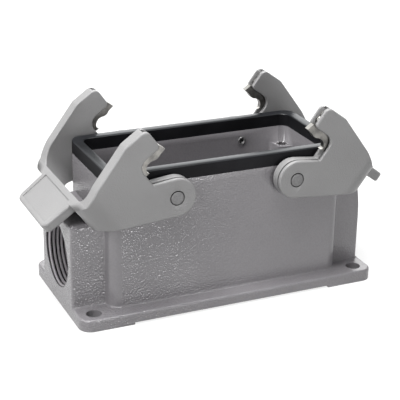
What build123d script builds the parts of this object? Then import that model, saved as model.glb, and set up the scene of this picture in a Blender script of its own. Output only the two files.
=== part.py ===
"""Lower housing of a heavy duty rectangular connector, with two locking levers.

Millimetres. The origin is the centre of the footprint on the mounting plane, +Z is up,
-X is the end with the cable entry and -Y is the front.
"""

import os
from math import cos, hypot, radians, sin

from build123d import *

# Rim, walls and cavity for the contact insert; the other sizes of the housing hang on these
RIM_LENGTH = 92.0
RIM_WIDTH = 43.5
RIM_TOP = 54.9
BODY_CORNER_R = 4.6
BODY_ROOT_R = 0.6
WALL = 3.7
CAVITY_CORNER_R = 3.2
CAVITY_FLOOR = 4.6

# Fixing flange: how far it reaches out from the body, its holes and its two feet
FLANGE_REACH_X = 12.5
FLANGE_REACH_Y = 6.05
FLANGE_TOP = 4.4
FLANGE_CORNER_R = 4.6
FLANGE_EDGE_R = 0.8
FOOT_HEIGHT = 0.8
FOOT_LENGTH = 19.5
FIXING_EDGE_X = 6.0
FIXING_EDGE_Y = 5.3
FIXING_HOLE_D = 5.6

# Bosses for the four screws of the contact insert
INSERT_EDGE_X = 3.55
INSERT_EDGE_Y = 4.55
INSERT_DEPTH = 10.9
INSERT_BOSS_R = 3.7
INSERT_SCREW_D = 3.3
INSERT_SCREW_DEPTH = 12.0

# Rim seal
SEAL_HEIGHT = 5.0
SEAL_TOP_THICKNESS = 1.2
SEAL_LIP = 0.9
SEAL_BEVEL = 0.45

# Blocks at the two ends of the body
BLOCK_SETBACK = 5.25
BLOCK_DROP = 9.85
BLOCK_CORNER_R = 1.2
BLOCK_TOP_R = 1.8
BLOCK_ROOT_R = 0.64
BLIND_SETBACK = 0.9
BLIND_LEAN = 2.0
BLIND_STRAIGHT_TOP = 15.0

# Cable entry with its M25 x 1.5 thread, and the cored pocket opposite
ENTRY_Z = 19.5
ENTRY_THREAD_D = 25.0
ENTRY_THREAD_LENGTH = 12.0
ENTRY_PASSAGE_D = 22.5
ENTRY_CHAMFER = 0.3
ENTRY_CORE_REACH = 10.0
BLIND_WALL = 4.2

# Pivots of the levers, measured from the end and the top of the rim
PIVOT_INSET = 22.7
PIVOT_DROP = 9.15
PIN_D = 5.0
PIN_CLEARANCE = 0.05
PIN_CHAMFER = 0.2
PIN_STEM_D = 3.3
PIN_RIVET_REACH = 0.5
PIN_RIVET_BORE_D = 2.0
PIN_RIVET_BORE_DEPTH = 1.6

# Arms of the locking levers: two plates and the slot between them
LEVER_GAP = 0.85
ARM_THICKNESS = 5.4
OUTER_PLATE = 1.3
SLOT_WIDTH = 0.65
HOOK_POCKET_DEPTH = 2.5
PIVOT_HOLE_CHAMFER = 0.3

# Side view of an arm: reaches towards the bridge and heights over the pivot
LEVER_END_R = 7.1
UPPER_FALL = 6.6
UPPER_EDGE = 8.2
THROAT_REACH = 14.3
THROAT_HEIGHT = 13.3
NOSE_REACH = 6.3
NOSE_HEIGHT = 19.3
TIP_REACH = 11.3
TIP_HEIGHT = 26.1
KINK_REACH = 18.9
KINK_HEIGHT = 20.65
SHOULDER_REACH = 29.2
SHOULDER_HEIGHT = 6.7
FOOT_FALL = 4.6
NOTCH_R = 0.6
THROAT_R = 3.5
NOSE_R = 1.4
TIP_R = 2.4
KINK_R = 3.0
SHOULDER_R = 12.0
OUTER_EDGE_R = 0.6
INNER_EDGE_R = 0.4

# Slot between the plates and its widening for the hook, from the pivot
SLOT_END_DROP = 4.2
SLOT_FOOT_REACH = 14.5
SLOT_FOOT_HEIGHT = 3.0
SLOT_BACK_REACH = 17.4
SLOT_BACK_LOW = 10.5
SLOT_BACK_HIGH = 18.0
SLOT_TOP_REACH = 13.7
SLOT_TOP_HEIGHT = 23.5
POCKET_FLOOR = 7.1
POCKET_STEP = 0.8

# Bridge of the lever, tilted, clear of the rim's corner as the lever swings
TILT = 53.0
SWING_GAP = 1.325
BRIDGE_THICKNESS = 3.2
BEND_INNER_R = 5.5
BEND_OUTER_R = 8.5
TAB_RISE = 19.8

# Thumb tab, square to the bridge and narrowing outwards, with its shallow recess
TAB_REACH = 15.4
TAB_THICKNESS = 3.7
TAB_SIDE_SETBACK = 11.7
TAB_TAPER = 0.9
TAB_CORNER_R = 3.0
TAB_EDGE_R = 0.8
TAB_ROOT_R = 1.5
RECESS_START = 2.2
RECESS_END_MARGIN = 1.9
RECESS_SIDE_MARGIN = 2.2
RECESS_DEPTH = 0.4

# Stamped hook insert: its seat for the peg of the hood, its nose, its root and two humps
HOOK_THICKNESS = 2.2
HOOK_CLEARANCE = 0.05
HOOK_SEAT_REACH = 7.9
HOOK_SEAT_HEIGHT = 11.4
HOOK_SEAT_R = 3.0
HOOK_SEAT_FROM = 100.0
HOOK_SEAT_TO = 200.0
HOOK_LIP = 0.9
HOOK_NOSE_REACH = 4.1
HOOK_NOSE_HEIGHT = 18.1
HOOK_NOSE_FALL = 1.9
HOOK_NOSE_BULGE = 0.45
HOOK_HEEL_REACH = 12.4
HOOK_HEEL_HEIGHT = 8.2
HOOK_ROOT_PLAY = 0.7
HUMP_R = 1.5

# Closeness within which an edge counts as lying on a face
NEAR = 0.01

RIM_BASE_Z = RIM_TOP - SEAL_HEIGHT
CAVITY_LENGTH = RIM_LENGTH - 2 * WALL
CAVITY_WIDTH = RIM_WIDTH - 2 * WALL
INSERT_PITCH_X = CAVITY_LENGTH - 2 * INSERT_EDGE_X
INSERT_PITCH_Y = CAVITY_WIDTH - 2 * INSERT_EDGE_Y
INSERT_BOSS_TOP = RIM_TOP - INSERT_DEPTH
FLANGE_LENGTH = RIM_LENGTH + 2 * FLANGE_REACH_X
FLANGE_WIDTH = RIM_WIDTH + 2 * FLANGE_REACH_Y
FIXING_PITCH_X = FLANGE_LENGTH - 2 * FIXING_EDGE_X
FIXING_PITCH_Y = FLANGE_WIDTH - 2 * FIXING_EDGE_Y
PIVOT_X = RIM_LENGTH / 2 - PIVOT_INSET
PIVOT_Z = RIM_TOP - PIVOT_DROP
BLOCK_WIDTH = RIM_WIDTH - 2 * BLOCK_SETBACK
BLOCK_TOP = PIVOT_Z - BLOCK_DROP
BLIND_REACH = FLANGE_LENGTH / 2 - BLIND_SETBACK
ARM_INNER = RIM_WIDTH / 2 + LEVER_GAP
LEVER_HALF_WIDTH = ARM_INNER + ARM_THICKNESS
SLOT_OUTER = LEVER_HALF_WIDTH - OUTER_PLATE
BRIDGE_DISTANCE = hypot(PIVOT_INSET, PIVOT_DROP) + SWING_GAP
TAB_ROOT_HALF_WIDTH = LEVER_HALF_WIDTH - TAB_SIDE_SETBACK
TAB_END_HALF_WIDTH = TAB_ROOT_HALF_WIDTH - TAB_TAPER
RECESS_LENGTH = TAB_REACH - RECESS_START - RECESS_END_MARGIN
RECESS_WIDTH = 2 * (TAB_END_HALF_WIDTH - RECESS_SIDE_MARGIN)
HOOK_FACE = SLOT_OUTER - HOOK_POCKET_DEPTH + HOOK_CLEARANCE + HOOK_THICKNESS
SIDES = (-1, 1)


def along_tilt(distance_out, distance_down):
    """Point of the left lever, relative to its pivot, in the tilted bridge's directions."""
    out_x, out_z = -sin(radians(TILT)), -cos(radians(TILT))
    down_x, down_z = cos(radians(TILT)), -sin(radians(TILT))
    return (
        distance_out * out_x + distance_down * down_x,
        distance_out * out_z + distance_down * down_z,
    )


def rim_outline(inset):
    """Rounded rectangle of the rim's outer face, moved inwards."""
    RectangleRounded(
        RIM_LENGTH - 2 * inset, RIM_WIDTH - 2 * inset, BODY_CORNER_R - inset
    )


def cavity_outline(growth):
    """Rounded rectangle of the cavity wall, moved outwards."""
    RectangleRounded(
        CAVITY_LENGTH + 2 * growth, CAVITY_WIDTH + 2 * growth, CAVITY_CORNER_R + growth
    )


# Housing casting: body with end blocks, flange and feet
with BuildPart() as housing_body:
    # Body and both end blocks up to the block top
    with BuildSketch(Plane.XY.offset(FOOT_HEIGHT)) as block_plan:
        rim_outline(0)
        with Locations(((BLIND_REACH - FLANGE_LENGTH / 2) / 2, 0)):
            Rectangle(BLIND_REACH + FLANGE_LENGTH / 2, BLOCK_WIDTH)
        inner_corners = block_plan.vertices().filter_by(
            lambda corner: abs(abs(corner.Y) - BLOCK_WIDTH / 2) < NEAR
            and abs(abs(corner.X) - RIM_LENGTH / 2) < NEAR
        )
        fillet(inner_corners, BLOCK_ROOT_R)
        fillet(block_plan.vertices().group_by(Axis.X)[-1], BLOCK_CORNER_R)
    extrude(amount=BLOCK_TOP - FOOT_HEIGHT)

    # Fixing flange, then its two feet
    with BuildSketch(Plane.XY.offset(FOOT_HEIGHT)):
        RectangleRounded(FLANGE_LENGTH, FLANGE_WIDTH, FLANGE_CORNER_R)
    extrude(amount=FLANGE_TOP - FOOT_HEIGHT)
    with BuildSketch():
        RectangleRounded(FLANGE_LENGTH, FLANGE_WIDTH, FLANGE_CORNER_R)
        Rectangle(FLANGE_LENGTH - 2 * FOOT_LENGTH, FLANGE_WIDTH, mode=Mode.SUBTRACT)
    extrude(amount=FOOT_HEIGHT)

    # Fillet at the root of the walls, then the rounded upper edge of the flange
    flange_edges = housing_body.edges().filter_by_position(
        Axis.Z, FLANGE_TOP - NEAR, FLANGE_TOP + NEAR
    )
    root_edges = flange_edges.filter_by(
        lambda edge: abs(edge.center().Y) < RIM_WIDTH / 2 + NEAR
        and abs(edge.center().X) < BLIND_REACH + NEAR
    )
    fillet(root_edges, BODY_ROOT_R)
    flange_edges = housing_body.edges().filter_by_position(
        Axis.Z, FLANGE_TOP - NEAR, FLANGE_TOP + NEAR
    )
    outer_edges = flange_edges.filter_by(
        lambda edge: abs(edge.center().Y) > FLANGE_WIDTH / 2 - FLANGE_CORNER_R
    )
    fillet(outer_edges, FLANGE_EDGE_R)

    # Blind end leaning in, and rounded tops of both blocks
    with BuildSketch(Plane.XZ):
        with BuildLine():
            lean_start = (BLIND_REACH, BLIND_STRAIGHT_TOP)
            lean_top = (BLIND_REACH - BLIND_LEAN, BLOCK_TOP)
            TangentArc(lean_start, lean_top, tangent=(0, 1))
            Polyline(
                lean_top,
                (BLIND_REACH + 1, BLOCK_TOP),
                (BLIND_REACH + 1, BLIND_STRAIGHT_TOP),
                lean_start,
            )
        make_face()
    extrude(amount=BLOCK_WIDTH, both=True, mode=Mode.SUBTRACT)
    fillet(housing_body.faces().sort_by(Axis.Z)[-1].edges(), BLOCK_TOP_R)

    # Body walls on up to the rim
    with BuildSketch(Plane.XY.offset(FOOT_HEIGHT)):
        rim_outline(0)
    extrude(amount=RIM_BASE_Z - FOOT_HEIGHT)

    # Tongue that carries the rim seal
    with BuildSketch(Plane.XY.offset(RIM_BASE_Z)):
        rim_outline(SEAL_LIP)
    extrude(amount=SEAL_HEIGHT - SEAL_TOP_THICKNESS)

    # Cavity, with a screw boss left standing in each corner
    with BuildSketch(Plane.XY.offset(CAVITY_FLOOR)):
        cavity_outline(0)
        with GridLocations(INSERT_PITCH_X, INSERT_PITCH_Y, 2, 2):
            Circle(INSERT_BOSS_R, mode=Mode.SUBTRACT)
        with GridLocations(
            INSERT_PITCH_X + 2 * INSERT_BOSS_R, INSERT_PITCH_Y, 2, 2
        ):
            Rectangle(2 * INSERT_BOSS_R, 2 * INSERT_BOSS_R, mode=Mode.SUBTRACT)
        with GridLocations(
            INSERT_PITCH_X, INSERT_PITCH_Y + 2 * INSERT_BOSS_R, 2, 2
        ):
            Rectangle(2 * INSERT_BOSS_R, 2 * INSERT_BOSS_R, mode=Mode.SUBTRACT)
    extrude(amount=RIM_TOP - CAVITY_FLOOR, mode=Mode.SUBTRACT)
    with BuildSketch(Plane.XY.offset(INSERT_BOSS_TOP)):
        cavity_outline(0)
    extrude(amount=RIM_BASE_Z - INSERT_BOSS_TOP, mode=Mode.SUBTRACT)
    with BuildSketch(Plane.XY.offset(RIM_BASE_Z)):
        cavity_outline(SEAL_LIP)
    extrude(amount=SEAL_HEIGHT, mode=Mode.SUBTRACT)
    with Locations((0, 0, INSERT_BOSS_TOP)):
        with GridLocations(INSERT_PITCH_X, INSERT_PITCH_Y, 2, 2):
            Hole(INSERT_SCREW_D / 2, depth=INSERT_SCREW_DEPTH)

    # Cable entry: thread bore, passage through the wall and cored pocket opposite
    entry_plane = Plane(
        origin=(-FLANGE_LENGTH / 2, 0, ENTRY_Z), x_dir=(0, 1, 0), z_dir=(1, 0, 0)
    )
    with BuildSketch(entry_plane):
        Circle(ENTRY_THREAD_D / 2)
    extrude(amount=ENTRY_THREAD_LENGTH, mode=Mode.SUBTRACT)
    with BuildSketch(entry_plane):
        Circle(ENTRY_PASSAGE_D / 2)
    extrude(
        amount=(FLANGE_LENGTH - CAVITY_LENGTH) / 2 + ENTRY_CORE_REACH,
        mode=Mode.SUBTRACT,
    )
    with BuildSketch(Plane.YZ.offset(BLIND_REACH - BLIND_LEAN - BLIND_WALL)):
        with Locations((0, ENTRY_Z)):
            Circle(ENTRY_PASSAGE_D / 2)
    extrude(
        amount=-(BLIND_REACH - BLIND_LEAN - BLIND_WALL - CAVITY_LENGTH / 2 + ENTRY_CORE_REACH),
        mode=Mode.SUBTRACT,
    )

    # Fixing holes and the holes for the pivot stems
    with Locations((0, 0, FLANGE_TOP)):
        with GridLocations(FIXING_PITCH_X, FIXING_PITCH_Y, 2, 2):
            Hole(FIXING_HOLE_D / 2, depth=FLANGE_TOP)
    with BuildSketch(Plane.XZ):
        with Locations((-PIVOT_X, PIVOT_Z), (PIVOT_X, PIVOT_Z)):
            Circle(PIN_STEM_D / 2)
    extrude(amount=RIM_WIDTH, both=True, mode=Mode.SUBTRACT)

    # Small chamfer at the mouth of the thread
    mouth = housing_body.edges().filter_by(GeomType.CIRCLE).filter_by(
        lambda edge: abs(edge.radius - ENTRY_THREAD_D / 2) < NEAR
        and abs(edge.arc_center.X + FLANGE_LENGTH / 2) < NEAR
    )
    chamfer(mouth, ENTRY_CHAMFER)
housing_body.part.label = "housing_body"


# Rim seal: a U section pushed down over the tongue
with BuildPart() as rim_seal:
    with BuildSketch(Plane.XY.offset(RIM_BASE_Z)):
        rim_outline(0)
    extrude(amount=SEAL_HEIGHT)
    with BuildSketch(Plane.XY.offset(RIM_BASE_Z)):
        cavity_outline(0)
    extrude(amount=SEAL_HEIGHT, mode=Mode.SUBTRACT)
    top_face = rim_seal.faces().filter_by(Plane.XY).sort_by(Axis.Z)[-1]
    chamfer(top_face.edges(), SEAL_BEVEL)
    with BuildSketch(Plane.XY.offset(RIM_BASE_Z)):
        rim_outline(SEAL_LIP)
        RectangleRounded(
            CAVITY_LENGTH + 2 * SEAL_LIP,
            CAVITY_WIDTH + 2 * SEAL_LIP,
            CAVITY_CORNER_R + SEAL_LIP,
            mode=Mode.SUBTRACT,
        )
    extrude(amount=SEAL_HEIGHT - SEAL_TOP_THICKNESS, mode=Mode.SUBTRACT)
rim_seal.part.label = "rim_seal"


# Side view of the left lever from its pivot: round end, notch, hook side, tip, back, bridge
with BuildSketch() as lever_side:
    upper_x, upper_z = cos(radians(UPPER_FALL)), sin(radians(UPPER_FALL))
    lower_x, lower_z = cos(radians(FOOT_FALL)), sin(radians(FOOT_FALL))
    end_top = (-LEVER_END_R * upper_z, LEVER_END_R * upper_x)
    end_foot = (LEVER_END_R * lower_z, -LEVER_END_R * lower_x)
    notch = (end_top[0] - UPPER_EDGE * upper_x, end_top[1] - UPPER_EDGE * upper_z)
    throat = (-THROAT_REACH, THROAT_HEIGHT)
    nose = (-NOSE_REACH, NOSE_HEIGHT)
    tip = (-TIP_REACH, TIP_HEIGHT)
    kink = (-KINK_REACH, KINK_HEIGHT)
    shoulder = (-SHOULDER_REACH, SHOULDER_HEIGHT)
    bridge_top = along_tilt(BRIDGE_DISTANCE, -TAB_RISE)
    beyond_bridge = along_tilt(BRIDGE_DISTANCE + 2 * BRIDGE_THICKNESS, -TAB_RISE)
    foot_reach = (end_foot[0] - beyond_bridge[0]) / lower_x
    with BuildLine():
        Polyline(
            end_top,
            notch,
            throat,
            nose,
            tip,
            kink,
            shoulder,
            bridge_top,
            beyond_bridge,
            (beyond_bridge[0], end_foot[1] - foot_reach * lower_z),
            end_foot,
        )
        ThreePointArc(end_foot, (LEVER_END_R, 0), end_top)
    make_face()
    for corner, radius in (
        (notch, NOTCH_R),
        (throat, THROAT_R),
        (nose, NOSE_R),
        (tip, TIP_R),
        (kink, KINK_R),
        (shoulder, SHOULDER_R),
    ):
        fillet(lever_side.vertices().sort_by_distance(corner)[0], radius)

# Area of the slot between the plates of an arm, closed along the back and the foot
past_end = LEVER_END_R + SLOT_WIDTH
past_tip = TIP_HEIGHT + SLOT_WIDTH
with BuildSketch() as slot_area:
    with BuildLine():
        Polyline(
            (past_end, -SLOT_END_DROP),
            (-SLOT_END_DROP, -SLOT_END_DROP),
            (-SLOT_FOOT_REACH, SLOT_FOOT_HEIGHT),
            (-SLOT_BACK_REACH, SLOT_BACK_LOW),
            (-SLOT_BACK_REACH, SLOT_BACK_HIGH),
            (-SLOT_TOP_REACH, SLOT_TOP_HEIGHT),
            (-TIP_REACH, past_tip),
            (past_end, past_tip),
            close=True,
        )
    make_face()

# Area where the slot widens into the pocket for the hook insert
pocket_back = -SLOT_BACK_REACH + POCKET_STEP
pocket_top = (-SLOT_TOP_REACH, SLOT_TOP_HEIGHT - POCKET_STEP)
with BuildSketch() as pocket_area:
    with BuildLine():
        Polyline(
            (0, POCKET_FLOOR),
            (-THROAT_REACH, POCKET_FLOOR),
            (pocket_back, SLOT_BACK_LOW),
            (pocket_back, SLOT_BACK_HIGH - POCKET_STEP),
            pocket_top,
            (-TIP_REACH, past_tip),
            (0, past_tip),
            close=True,
        )
    make_face()


def on_seat(angle):
    """Point at this angle on the hook's seat, the circle that holds the peg of the hood."""
    return (
        HOOK_SEAT_R * cos(radians(angle)) - HOOK_SEAT_REACH,
        HOOK_SEAT_R * sin(radians(angle)) + HOOK_SEAT_HEIGHT,
    )


# Side view of the hook insert: nose, seat and its lip, heel, root, and two round humps
with BuildSketch() as hook_side:
    nose_point = (-HOOK_NOSE_REACH, HOOK_NOSE_HEIGHT)
    nose_under = (nose_point[0] - HOOK_NOSE_FALL, nose_point[1] - HOOK_NOSE_FALL)
    nose_top = (-NOSE_REACH, NOSE_HEIGHT + HOOK_NOSE_BULGE)
    seat_start, seat_end = on_seat(HOOK_SEAT_FROM), on_seat(HOOK_SEAT_TO)
    root_back = pocket_back + HOOK_ROOT_PLAY
    root_top = (pocket_top[0] + HOOK_ROOT_PLAY, pocket_top[1] - HOOK_ROOT_PLAY)
    valley = (root_top[0] + 2 * HUMP_R, root_top[1])
    hump_end = (valley[0] + HUMP_R, valley[1] - 2 * HUMP_R)
    with BuildLine():
        Polyline(nose_top, nose_point, nose_under)
        SagittaArc(nose_under, seat_start, HOOK_NOSE_BULGE)
        ThreePointArc(seat_start, on_seat((HOOK_SEAT_FROM + HOOK_SEAT_TO) / 2), seat_end)
        Polyline(
            seat_end,
            (seat_end[0] + HOOK_LIP, seat_end[1] - HOOK_LIP / 2),
            (-HOOK_HEEL_REACH, HOOK_HEEL_HEIGHT),
            (-THROAT_REACH, HOOK_HEEL_HEIGHT),
            (root_back, SLOT_BACK_LOW + HOOK_ROOT_PLAY),
            (root_back, SLOT_BACK_HIGH - POCKET_STEP - HOOK_ROOT_PLAY),
            root_top,
        )
        ThreePointArc(root_top, (root_top[0] + HUMP_R, root_top[1] + HUMP_R), valley)
        ThreePointArc(valley, (valley[0] + HUMP_R, valley[1] - HUMP_R / 2), hump_end)
        Line(hump_end, nose_top)
    make_face()


def arm_plane(y):
    """Plane across an arm at y, with the left pivot as its origin."""
    return Plane(origin=(-PIVOT_X, y, PIVOT_Z), x_dir=(1, 0, 0), z_dir=(0, -1, 0))


# Left lever: the side view, cut to a U whose bends run along the tilted bridge
with BuildPart() as lever_left:
    with BuildSketch(arm_plane(0)):
        add(lever_side.sketch)
    extrude(amount=LEVER_HALF_WIDTH, both=True)
    down_x, down_z = along_tilt(0, 1)
    bend_plane = Plane(
        origin=(-PIVOT_X, 0, PIVOT_Z), x_dir=(0, 1, 0), z_dir=(down_x, 0, down_z)
    )
    u_depth = BRIDGE_DISTANCE + BRIDGE_THICKNESS + 4 * LEVER_END_R
    with BuildSketch(bend_plane):
        with Locations((0, u_depth / 2 - BRIDGE_DISTANCE - BRIDGE_THICKNESS)):
            RectangleRounded(2 * LEVER_HALF_WIDTH, u_depth, BEND_OUTER_R)
        with Locations((0, u_depth / 2 - BRIDGE_DISTANCE)):
            RectangleRounded(2 * ARM_INNER, u_depth, BEND_INNER_R, mode=Mode.SUBTRACT)
    extrude(amount=3 * BRIDGE_DISTANCE, both=True, mode=Mode.INTERSECT)

    # Soft edges round the inner and outer face of each arm, and on round the bends; the
    # long line where a face runs into its bend stays smooth
    bend_direction = Vector(down_x, 0, down_z)
    for distance, radius in ((LEVER_HALF_WIDTH, OUTER_EDGE_R), (ARM_INNER, INNER_EDGE_R)):
        arm_rims = [
            edge
            for face in lever_left.faces().filter_by(Plane.XZ)
            if abs(abs(face.center().Y) - distance) < NEAR
            for edge in face.edges()
            if edge.length < UPPER_EDGE or abs((edge % 0.5).dot(bend_direction)) < 1 - NEAR
        ]
        fillet(arm_rims, radius)

    # Slot and hook pocket in each arm
    for side in SIDES:
        with BuildSketch(arm_plane(side * SLOT_OUTER)):
            add(slot_area.sketch)
        extrude(amount=side * SLOT_WIDTH, mode=Mode.SUBTRACT)
        with BuildSketch(arm_plane(side * SLOT_OUTER)):
            add(pocket_area.sketch)
        extrude(amount=side * HOOK_POCKET_DEPTH, mode=Mode.SUBTRACT)
    with BuildSketch(arm_plane(0)):
        Circle(PIN_D / 2 + PIN_CLEARANCE)
    extrude(amount=2 * LEVER_HALF_WIDTH, both=True, mode=Mode.SUBTRACT)
    pivot_mouths = lever_left.edges().filter_by(GeomType.CIRCLE).filter_by(
        lambda edge: abs(edge.radius - PIN_D / 2 - PIN_CLEARANCE) < NEAR
        and abs(abs(edge.arc_center.Y) - LEVER_HALF_WIDTH) < NEAR
    )
    chamfer(pivot_mouths, PIVOT_HOLE_CHAMFER)

    # Thumb tab, square to the bridge, with its shallow recess
    tab_plane = Plane(
        origin=(-PIVOT_X + bridge_top[0], 0, PIVOT_Z + bridge_top[1]),
        x_dir=(0, 1, 0),
        z_dir=(-down_x, 0, -down_z),
    )
    with BuildSketch(tab_plane) as tab_plan:
        with BuildLine():
            Polyline(
                (TAB_ROOT_HALF_WIDTH, 0),
                (TAB_END_HALF_WIDTH, TAB_REACH),
                (-TAB_END_HALF_WIDTH, TAB_REACH),
                (-TAB_ROOT_HALF_WIDTH, 0),
                close=True,
            )
        make_face()
        fillet(tab_plan.vertices().group_by(Axis.Y)[-1], TAB_CORNER_R)
    extrude(amount=-TAB_THICKNESS)
    tab_edges = lever_left.edges().filter_by(
        lambda edge: abs(edge.center().Y) < TAB_ROOT_HALF_WIDTH + NEAR
        and tab_plane.to_local_coords(edge.center()).Y > BRIDGE_THICKNESS + BEND_OUTER_R / 2
        and abs((edge % 0.5).dot(bend_direction)) < NEAR
    )
    fillet(tab_edges, TAB_EDGE_R)

    # Fillet under the tab, where it leaves the bridge
    with BuildSketch(arm_plane(0)):
        under_reach = BRIDGE_DISTANCE + BRIDGE_THICKNESS
        under_drop = TAB_THICKNESS - TAB_RISE
        root_out = along_tilt(under_reach + TAB_ROOT_R, under_drop)
        root_down = along_tilt(under_reach, under_drop + TAB_ROOT_R)
        with BuildLine():
            Polyline(root_down, along_tilt(under_reach, under_drop), root_out)
            RadiusArc(root_out, root_down, TAB_ROOT_R)
        make_face()
    extrude(amount=TAB_END_HALF_WIDTH - TAB_EDGE_R, both=True)
    with BuildSketch(tab_plane):
        with Locations((0, RECESS_START + RECESS_LENGTH / 2)):
            Rectangle(RECESS_WIDTH, RECESS_LENGTH)
    extrude(amount=-RECESS_DEPTH, mode=Mode.SUBTRACT)
lever_left.part.label = "lever_left"

with BuildPart() as lever_right:
    mirror(lever_left.part, about=Plane.YZ)
lever_right.part.label = "lever_right"


# Hook inserts: one stamping and its mirror images, lying in the pockets of the arms
with BuildPart() as hook_left_front:
    with BuildSketch(arm_plane(-HOOK_FACE)):
        add(hook_side.sketch)
    extrude(amount=-HOOK_THICKNESS)
with BuildPart() as hook_left_rear:
    mirror(hook_left_front.part, about=Plane.XZ)
with BuildPart() as hook_right_front:
    mirror(hook_left_front.part, about=Plane.YZ)
with BuildPart() as hook_right_rear:
    mirror(hook_left_rear.part, about=Plane.YZ)


# Pivot pins: a shoulder through the lever, and a hollow stem riveted inside the wall; one
# pin is drawn, the others are its mirror images
with BuildPart() as pin_left_front:
    with BuildSketch(arm_plane(-LEVER_HALF_WIDTH)):
        Circle(PIN_D / 2)
    extrude(amount=-(LEVER_HALF_WIDTH - RIM_WIDTH / 2))
    chamfer(pin_left_front.edges().group_by(Axis.Y)[0], PIN_CHAMFER)
    with BuildSketch(arm_plane(-RIM_WIDTH / 2)):
        Circle(PIN_STEM_D / 2)
    extrude(amount=-(WALL + PIN_RIVET_REACH))
    with BuildSketch(arm_plane(PIN_RIVET_REACH - CAVITY_WIDTH / 2)):
        Circle(PIN_RIVET_BORE_D / 2)
    extrude(amount=PIN_RIVET_BORE_DEPTH, mode=Mode.SUBTRACT)
with BuildPart() as pin_left_rear:
    mirror(pin_left_front.part, about=Plane.XZ)
with BuildPart() as pin_right_front:
    mirror(pin_left_front.part, about=Plane.YZ)
with BuildPart() as pin_right_rear:
    mirror(pin_left_rear.part, about=Plane.YZ)

NODES = {
    "housing_body": housing_body,
    "rim_seal": rim_seal,
    "lever_left": lever_left,
    "lever_right": lever_right,
    "hook_left_front": hook_left_front,
    "hook_left_rear": hook_left_rear,
    "hook_right_front": hook_right_front,
    "hook_right_rear": hook_right_rear,
    "pin_left_front": pin_left_front,
    "pin_left_rear": pin_left_rear,
    "pin_right_front": pin_right_front,
    "pin_right_rear": pin_right_rear,
}
os.makedirs("parts", exist_ok=True)
for node, builder in NODES.items():
    builder.part.label = node
    export_step(builder.part, f"parts/{node}.step")
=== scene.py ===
import math

import bmesh
import bpy
import numpy as np
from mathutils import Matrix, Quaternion, Vector


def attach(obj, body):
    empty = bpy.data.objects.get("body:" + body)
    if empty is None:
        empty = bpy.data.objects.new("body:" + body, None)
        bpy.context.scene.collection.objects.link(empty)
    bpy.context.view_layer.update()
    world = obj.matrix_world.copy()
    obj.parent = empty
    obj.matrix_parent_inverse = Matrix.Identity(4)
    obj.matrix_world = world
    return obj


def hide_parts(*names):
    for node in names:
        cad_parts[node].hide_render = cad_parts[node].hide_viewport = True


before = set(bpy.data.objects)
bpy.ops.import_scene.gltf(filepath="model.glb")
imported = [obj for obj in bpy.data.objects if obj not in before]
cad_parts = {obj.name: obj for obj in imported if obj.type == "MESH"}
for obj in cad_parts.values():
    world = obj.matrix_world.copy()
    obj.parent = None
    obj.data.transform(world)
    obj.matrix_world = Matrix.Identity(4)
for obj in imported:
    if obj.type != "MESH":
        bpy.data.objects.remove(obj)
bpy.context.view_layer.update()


# The housing is one aluminium die casting: flange, body, threaded entry block and blind
# block. It is coated all over with a grey powder that dries to a pebbled, half glossy skin.
# The screw holes for the contact insert and the threaded bore are cut afterwards.
class Field:
    """One output of a shader node. Arithmetic on it adds the Math nodes that work it out."""

    def __init__(self, tree, socket):
        self.tree = tree
        self.socket = socket

    def node(self, kind, settings=None, output=0, **values):
        """Adds a node: its settings first, then a value or a link for each socket.

        A socket is named in lower case with underscores, or s0, s1, ... by its place. The
        output is given by its place or its name."""
        made = self.tree.nodes.new(kind)
        for setting, value in (settings or {}).items():
            setattr(made, setting, value)
        by_name = {
            socket.name.lower().replace(" ", "_"): socket for socket in reversed(made.inputs)
        }
        for name, value in values.items():
            place = name[1:]
            socket = made.inputs[int(place)] if place.isdigit() else by_name[name]
            if isinstance(value, Field):
                self.tree.links.new(value.socket, socket)
            else:
                socket.default_value = value
        return Field(self.tree, made.outputs[output])

    def maths(self, operation, *others):
        """Math node that has this field as its first value."""
        named = {f"s{place}": value for place, value in enumerate((self, *others))}
        return self.node("ShaderNodeMath", {"operation": operation}, **named)

    def __add__(self, other):
        return self.maths("ADD", other)

    __radd__ = __add__

    def __mul__(self, other):
        return self.maths("MULTIPLY", other)

    __rmul__ = __mul__

    def __sub__(self, other):
        return self.maths("SUBTRACT", other)

    def __rsub__(self, other):
        return self * -1 + other

    def hypot(self, other):
        """Length of the slope over this field and another at right angles to it."""
        return (self * self + other * other).maths("SQRT")

    def rise(self, low, high):
        """Smooth step: 0 below low, 1 above high."""
        return self.node(
            "ShaderNodeMapRange",
            {"interpolation_type": "SMOOTHSTEP"},
            value=self,
            from_min=low,
            from_max=high,
        )

    def blend(self, first, second):
        """Colour that goes from first to second as this field goes from 0 to 1."""
        return self.node(
            "ShaderNodeMix", {"data_type": "RGBA"}, output=2, s0=self, s6=first, s7=second
        )

    def noise(self, scale, detail=2.0, roughness=0.5):
        """Noise over this place, with about `scale` lumps to the metre."""
        return self.node(
            "ShaderNodeTexNoise", vector=self, scale=scale, detail=detail, roughness=roughness
        )

    def axis(self, output):
        """One component of a vector: 0 is X, 1 is Y, 2 is Z."""
        return self.node("ShaderNodeSeparateXYZ", output=output, vector=self)


def material(name, **constants):
    """New material with these constants on its shader, and the place on the piece."""
    made = bpy.data.materials.new(name)
    made.use_nodes = True
    shader = made.node_tree.nodes["Principled BSDF"]
    for socket, value in constants.items():
        shader.inputs[socket.replace("_", " ")].default_value = value
    place = Field(made.node_tree, None).node("ShaderNodeTexCoord", output="Object")
    return made, place


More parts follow.
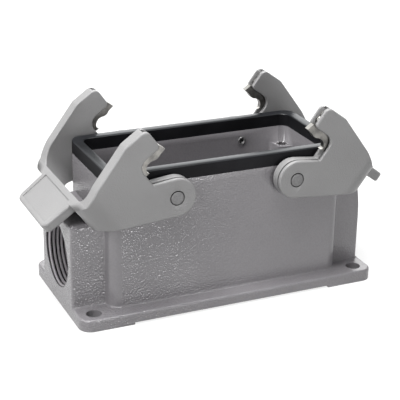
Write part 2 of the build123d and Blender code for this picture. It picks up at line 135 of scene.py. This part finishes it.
def finish(made, **fields):
    """Links fields to the shader's sockets; relief is a height in metres."""
    shader = made.node_tree.nodes["Principled BSDF"]
    if "relief" in fields:
        relief = fields.pop("relief")
        bump = relief.node("ShaderNodeBump", strength=1.0, distance=1.0, height=relief)
        made.node_tree.links.new(bump.socket, shader.inputs["Normal"])
    for socket, field in fields.items():
        made.node_tree.links.new(field.socket, shader.inputs[socket.replace("_", " ")])


def shaded(name, mesh, coat, crease):
    """Object with this mesh and coat, smooth except at edges that turn more than the crease."""
    mesh.materials.append(coat)
    mesh.shade_smooth()
    mesh.set_sharp_from_angle(angle=math.radians(crease))
    made = bpy.data.objects.new(name, mesh)
    bpy.context.scene.collection.objects.link(made)
    return made


def dress(node, piece, body, coat):
    """Copy of a solid's mesh, its corners merged, that stands for the solid."""
    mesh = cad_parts[node].data.copy()
    mesh.name = piece
    work = bmesh.new()
    work.from_mesh(mesh)
    bmesh.ops.remove_doubles(work, verts=work.verts, dist=1e-6)
    work.to_mesh(mesh)
    work.free()
    mesh.materials.clear()
    made = shaded(piece, mesh, coat, crease=32)
    weighted = made.modifiers.new("face_area_normals", "WEIGHTED_NORMAL")
    weighted.mode = "FACE_AREA"
    weighted.keep_sharp = True
    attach(made, body)
    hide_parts(node)


coat_grey = (0.215, 0.207, 0.217, 1)
coat_dark = (0.188, 0.180, 0.190, 1)
bare_aluminium = (0.62, 0.60, 0.61, 1)
# Painted shade for the insides of the screw holes, the threaded bore and the thread's grooves
recess_shade = (0.050, 0.046, 0.050, 1)
flange_top = 0.0044
boss_top = 0.044
screw_along = 0.03875
screw_across = 0.0135
screw_radius = 0.00165
screw_depth = 0.012
body_end = 0.046
body_side = 0.02175
corner_radius = 0.0046
cavity_end = 0.0432
cavity_side = 0.0188
entry_height = 0.0195
thread_radius = 0.0125
thread_end = -0.0465
thinned_inside = 0.85
thinned_right = 0.55
thinned_top = 0.40
pebble_height = 0.00022
ripple_height = 0.00002

powder_coat, place = material("powder_coat", Specular_IOR_Level=0.75)
domes = place.node(
    "ShaderNodeTexVoronoi", {"feature": "SMOOTH_F1"}, vector=place, scale=1450.0, smoothness=0.5
)
pebbles = 1 - domes
ripples = place.noise(2600.0, detail=0.5)
patches = place.noise(38.0, detail=3.0)
along, across, height = (place.axis(n) for n in range(3))
end_distance = along.maths("ABSOLUTE")
side_distance = across.maths("ABSOLUTE")

# The powder runs thin round the upright corners of the body, lies smoother to the right and
# towards the top, and hardly reaches the inside
corner_along = body_end - corner_radius
corner_across = body_side - corner_radius
round_corner = (
    end_distance.rise(corner_along, corner_along + 0.0012)
    * side_distance.rise(corner_across, corner_across + 0.0006)
    * height.rise(flange_top + 0.0002, flange_top + 0.0006)
)
inside = (1 - end_distance.rise(cavity_end, cavity_end + 0.0005)) * (
    1 - side_distance.rise(cavity_side, cavity_side + 0.0005)
)
lumpy = (
    (1 - round_corner)
    * (1 - inside * thinned_inside)
    * (1 - along.rise(-0.040, 0.025) * thinned_right)
    * (1 - height.rise(0.005, 0.045) * thinned_top)
)

# Each screw hole gets painted shade inside, with a bare burnished edge, and the threaded bore
# is painted dark as painted shade too
from_screw = (end_distance - screw_along).hypot(side_distance - screw_across)
screw_bottom = boss_top - screw_depth
near_top = height.rise(screw_bottom, screw_bottom + 0.0001)
drilled = near_top * (1 - from_screw.rise(screw_radius + 0.00005, screw_radius + 0.00015))
widened = near_top * (1 - from_screw.rise(screw_radius + 0.0005, screw_radius + 0.0007))
burnished = widened - drilled
from_bore_axis = across.hypot(height - entry_height)
bored = (1 - from_bore_axis.rise(thread_radius + 0.0001, thread_radius + 0.0003)) * (
    1 - along.rise(thread_end - 0.0005, thread_end)
)

# Random patches of tone, plus a painted highlight on each pebble's crown and painted shade in the
# hollows between
mottled_and_pebble_shade = patches.rise(0.35, 0.65) * 0.6 + pebbles.rise(0.3, 0.7) * 0.4
coat_colour = mottled_and_pebble_shade.blend(coat_dark, coat_grey)
finish(
    powder_coat,
    Base_Color=(bored + drilled).blend(burnished.blend(coat_colour, bare_aluminium), recess_shade),
    Metallic=burnished * 0.9,
    Roughness=0.18 + ripples * 0.08,
    relief=(pebbles * pebble_height + ripples * ripple_height) * lumpy * (1 - bored),
)
dress("housing_body", "coated_housing", "housing", powder_coat)


# M25 x 1.5 thread of the cable entry, cut into the coated bore: one ridge that winds
# round the wall, thinning out where the tap started and stopped.
thread_crest = 0.01165
thread_pitch = 0.0015
thread_start = -0.0579
thread_turns = 7.2
steps_per_turn = 90
crest_dark = (0.34, 0.32, 0.34, 1)
crest_light = (0.44, 0.42, 0.44, 1)


def winding_ridge(turns):
    """Closed ridge along a right-handed helix about X.

    At angle a, counted from the front of the bore, the ridge's middle is at
    x = start + pitch * a / 2 pi. Its section is a trapezium: root in the wall, crest nearer
    the axis by the thread's depth, and the depth goes to nothing over the first and last
    third of a turn."""
    steps = int(turns * steps_per_turn) + 1
    angle = np.linspace(0, 2 * np.pi * turns, steps)[:, None]
    along = np.array([-0.46, -0.40, -0.10, 0.10, 0.40, 0.46])[None, :] * thread_pitch
    depth = np.array([-0.08, 0.0, 1.0, 1.0, 0.0, -0.08])[None, :]
    run = np.clip(np.minimum(angle, angle[-1] - angle) / (2 * np.pi / 3), 0.02, 1)
    radius = thread_radius - depth * (thread_radius - thread_crest) * np.where(depth > 0, run, 1)
    x = thread_start + thread_pitch * angle / (2 * np.pi) + along
    y, z = -radius * np.cos(angle), entry_height - radius * np.sin(angle)
    return np.stack([x + 0 * radius, y, z], -1)


def tube(name, grid, coat):
    """Mesh over a grid of points, closed across its columns and capped at both ends."""
    rows, columns = grid.shape[:2]
    index = np.arange(rows * columns).reshape(rows, columns)
    across = np.roll(index, -1, axis=1)
    quads = np.stack([index[:-1], index[1:], across[1:], across[:-1]], -1).reshape(-1, 4)
    faces = quads.tolist() + [index[0].tolist(), index[-1][::-1].tolist()]
    mesh = bpy.data.meshes.new(name)
    mesh.from_pydata(grid.reshape(-1, 3).tolist(), [], faces)
    work = bmesh.new()
    work.from_mesh(mesh)
    bmesh.ops.recalc_face_normals(work, faces=work.faces)
    work.to_mesh(mesh)
    work.free()
    return shaded(name, mesh, coat, crease=35)


thread_metal, place = material("threaded_metal", Metallic=0.35)
swarf = place.noise(2600.0, detail=2.0)
from_thread_axis = place.axis(1).hypot(place.axis(2) - entry_height)
# The grooves at the root of the ridge are painted dark as painted shade
groove = from_thread_axis.rise(thread_crest + 0.00055, thread_crest + 0.00085)
crest_colour = swarf.rise(0.3, 0.7).blend(crest_dark, crest_light)
finish(
    thread_metal,
    Base_Color=groove.blend(crest_colour, recess_shade),
    Roughness=0.3 + swarf * 0.2,
    relief=swarf * 0.00002,
)
entry_thread = tube("entry_thread", winding_ridge(thread_turns), thread_metal)
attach(entry_thread, "housing")


# Black rubber moulding with a U section, pushed down over the rim of the housing. Its top is
# smooth from the mould and shines, its sides are duller.
rubber_dark = (0.006, 0.006, 0.007, 1)
rubber_light = (0.012, 0.012, 0.014, 1)
rubber, place = material(
    "seal_rubber",
    Specular_IOR_Level=0.10,
    Coat_Roughness=0.28,
    Coat_IOR=1.45,
    Coat_Tint=(0.86, 0.95, 1.0, 1),
)
bloom = place.noise(60.0, detail=4.0)
grain = place.noise(3000.0, detail=1.0)
facing_up = place.node("ShaderNodeNewGeometry", output="Normal").axis(2).rise(0.25, 0.75)
finish(
    rubber,
    Base_Color=bloom.rise(0.3, 0.7).blend(rubber_dark, rubber_light),
    Roughness=0.45 + bloom * 0.12,
    Coat_Weight=facing_up * 0.5,
    relief=grain * 0.000008,
)
dress("rim_seal", "rubber_seal", "housing", rubber)


# Each locking lever is one moulding of light grey glass-filled plastic: a U round the end of
# the housing with a thumb tab, its arms slotted for the steel hooks. The mould is textured.
plastic_light = (0.252, 0.250, 0.251, 1)
plastic_dark = (0.234, 0.232, 0.233, 1)
# Painted shade for the gap round each pin
gap_shade = (0.035, 0.034, 0.034, 1)
pivot_along = 0.0233
pivot_height = 0.04575
pin_radius = 0.0025


def from_pivot(place):
    """Distance of the place from the axis on which the lever of its side swings."""
    return (place.axis(0).maths("ABSOLUTE") - pivot_along).hypot(place.axis(2) - pivot_height)


moulding, place = material("lever_plastic", Specular_IOR_Level=0.5)
leather = place.noise(1900.0, detail=1.0)
flow = place.noise(45.0, detail=3.0)
# Painted shade: a dark ring on the lever round its pin, over the hole's chamfer and gap
clear_of_gap_shade = from_pivot(place).rise(pin_radius + 0.00015, pin_radius + 0.00030)
finish(
    moulding,
    Base_Color=clear_of_gap_shade.blend(gap_shade, flow.rise(0.3, 0.7).blend(plastic_dark, plastic_light)),
    Roughness=0.30 + leather * 0.14,
    relief=leather * 0.00009,
)
for side in ("left", "right"):
    dress(f"lever_{side}", f"moulded_lever_{side}", f"{side}_lever", moulding)


# Hooks stamped from stainless sheet, tumbled, and pressed into the slots of the arms. They
# are tarnished, with a grain along the arm, and have a painted highlight on the facets that look
# up.
tarnish_dark = (0.11, 0.107, 0.102, 1)
tarnish_light = (0.22, 0.213, 0.20, 1)
highlight_steel = (0.56, 0.55, 0.52, 1)
steel, place = material("stamped_steel", Metallic=1.0)
rolling = place.node(
    "ShaderNodeMapping", vector=place, scale=(300.0, 4000.0, 4000.0)
).noise(1.0, detail=3.0)
tarnish = place.noise(350.0, detail=3.0)
rolled_colour = tarnish.rise(0.3, 0.7).blend(tarnish_dark, tarnish_light)
# Painted highlight: the facets that look up get a lighter steel colour
looking_up = place.node("ShaderNodeNewGeometry", output="Normal").axis(2).rise(0.2, 0.6)
finish(
    steel,
    Base_Color=looking_up.blend(rolled_colour, highlight_steel),
    Roughness=0.24 + rolling * 0.16,
    relief=rolling * 0.000006,
)
for side in ("left", "right"):
    for end in ("front", "rear"):
        hook = f"hook_{side}_{end}"
        dress(hook, f"steel_{hook}", f"{side}_lever", steel)


# Turned steel pins on which the levers swing. The stem goes through the wall of the housing
# and is spread inside it like a hollow rivet.
pin_dark = (0.135, 0.135, 0.137, 1)
pin_light = (0.175, 0.173, 0.174, 1)
pin_steel, place = material("turned_steel", Metallic=0.55)
turning = place.noise(1800.0, detail=2.0)
# Painted shade: the rim of each pin's end is dark, where the gap round it lies
pin_edge = from_pivot(place).rise(pin_radius - 0.00022, pin_radius - 0.00008)
end_colour = turning.rise(0.3, 0.7).blend(pin_dark, pin_light)
finish(
    pin_steel,
    Base_Color=pin_edge.blend(end_colour, gap_shade),
    Roughness=0.34 + turning * 0.12,
    relief=turning * 0.00001,
)
for side in ("left", "right"):
    for end in ("front", "rear"):
        pin = f"pin_{side}_{end}"
        dress(pin, f"steel_{pin}", "housing", pin_steel)


# White table and surround. A large soft box hangs overhead and others stand at the left and
# behind. Two small strong ones, low in front, pick out the pebbles of the coat.
room_front = 0.06
room_behind = 0.92
table_grey = (0.20, 0.20, 0.20, 1)
table_glow = 0.80
lamps_aim = Vector((0, 0, 0.03))


def seen_by(start, *kinds):
    """1 for camera rays and for rays of these other kinds, else 0."""
    seen = start.node("ShaderNodeLightPath", output="Is Camera Ray")
    for kind in kinds:
        other = start.node("ShaderNodeLightPath", output=f"Is {kind} Ray")
        seen = seen.maths("MAXIMUM", other)
    return seen


surround = bpy.data.worlds.new("surround")
surround.use_nodes = True
backdrop = surround.node_tree.nodes["Background"]
backdrop.inputs["Color"].default_value = (1, 1, 1, 1)
direction = Field(surround.node_tree, None).node("ShaderNodeTexCoord", output="Generated")
room = direction.axis(1).rise(-0.2, 0.8) * (room_behind - room_front) + room_front
level = room + seen_by(direction) * (1 - room)
surround.node_tree.links.new(level.socket, backdrop.inputs["Strength"])
bpy.context.scene.world = surround

table_white, place = material(
    "table_white", Base_Color=table_grey, Roughness=0.9, Emission_Color=(1, 1, 1, 1)
)
finish(table_white, Emission_Strength=seen_by(place, "Glossy", "Transmission") * table_glow)
table_corners = [(-3, -3, 0), (3, -3, 0), (3, 3, 0), (-3, 3, 0)]
table_mesh = bpy.data.meshes.new("table")
table_mesh.from_pydata(table_corners, [], [(0, 1, 2, 3)])
table_mesh.materials.append(table_white)
table = bpy.data.objects.new("table", table_mesh)
bpy.context.scene.collection.objects.link(table)


def soft_box(name, where, size, power):
    """Square lamp at a place, turned to the middle of the part."""
    lamp = bpy.data.lights.new(name, "AREA")
    lamp.size = size
    lamp.energy = power
    made = bpy.data.objects.new(name, lamp)
    made.location = where
    made.rotation_mode = "QUATERNION"
    made.rotation_quaternion = (lamps_aim - Vector(where)).to_track_quat("-Z", "Y")
    bpy.context.scene.collection.objects.link(made)


soft_box("overhead", (-0.10, -0.05, 0.8), 0.5, 11.2)
soft_box("left", (-0.64, -0.18, 0.44), 0.4, 3.2)
soft_box("behind", (0.35, 0.78, 0.42), 0.7, 3.0)
soft_box("front", (0.08, -0.42, 0.04), 0.08, 0.46)
soft_box("front_left", (-0.36, -0.30, 0.03), 0.08, 0.24)

camera_data = bpy.data.cameras.new("camera")
camera_data.lens = 109.403
camera_data.sensor_width = 36.0
camera = bpy.data.objects.new("camera", camera_data)
camera.location = (-0.1762048, -0.3833874, 0.2030341)
looking = Vector((0.38272898, 0.84316198, -0.3776194))
roll = Quaternion((0, 0, 1), math.radians(1.0176))
camera.rotation_mode = "QUATERNION"
camera.rotation_quaternion = looking.to_track_quat("-Z", "Y") @ roll
bpy.context.scene.collection.objects.link(camera)
bpy.context.scene.camera = camera
bpy.context.scene.view_settings.view_transform = "Standard"
